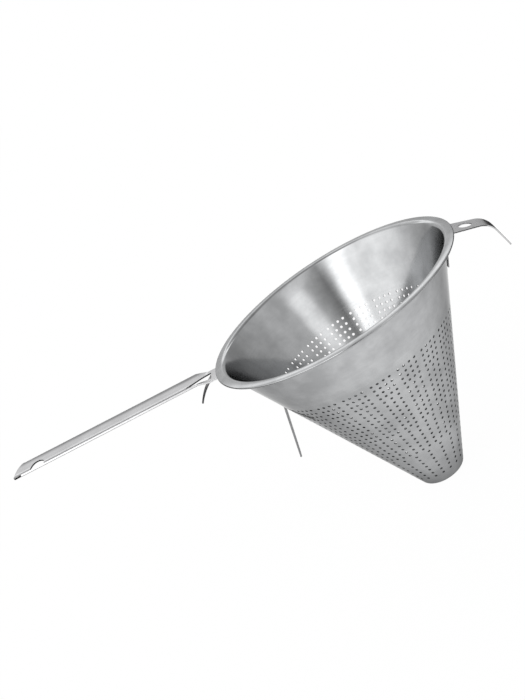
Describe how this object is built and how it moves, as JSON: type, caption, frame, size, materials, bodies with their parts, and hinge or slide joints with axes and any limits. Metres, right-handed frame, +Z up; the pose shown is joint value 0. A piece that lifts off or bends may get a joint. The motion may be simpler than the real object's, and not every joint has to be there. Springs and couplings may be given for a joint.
{
  "type": "chinois strainer",
  "caption": "Conical sheet-steel kitchen strainer with a punched wall, flat rolled rim, long trough handle with a hanging hole, pot hook and rest leg.",
  "frame": {"origin": "centre of the mouth, level with the top of the rim", "axes": "+Z up along the cone's axis, -X towards the handle, +X towards the pot hook"},
  "size_m": [0.4024, 0.2, 0.1817],
  "materials": {
    "cone_steel": "satin spun stainless sheet",
    "strap_steel": "brushed stainless strip"
  },
  "bodies": {
    "root": {"perforated_cone": "cone_steel", "handle": "strap_steel", "pot_hook": "strap_steel", "rest_leg": "strap_steel"}
  },
  "joints": []
}
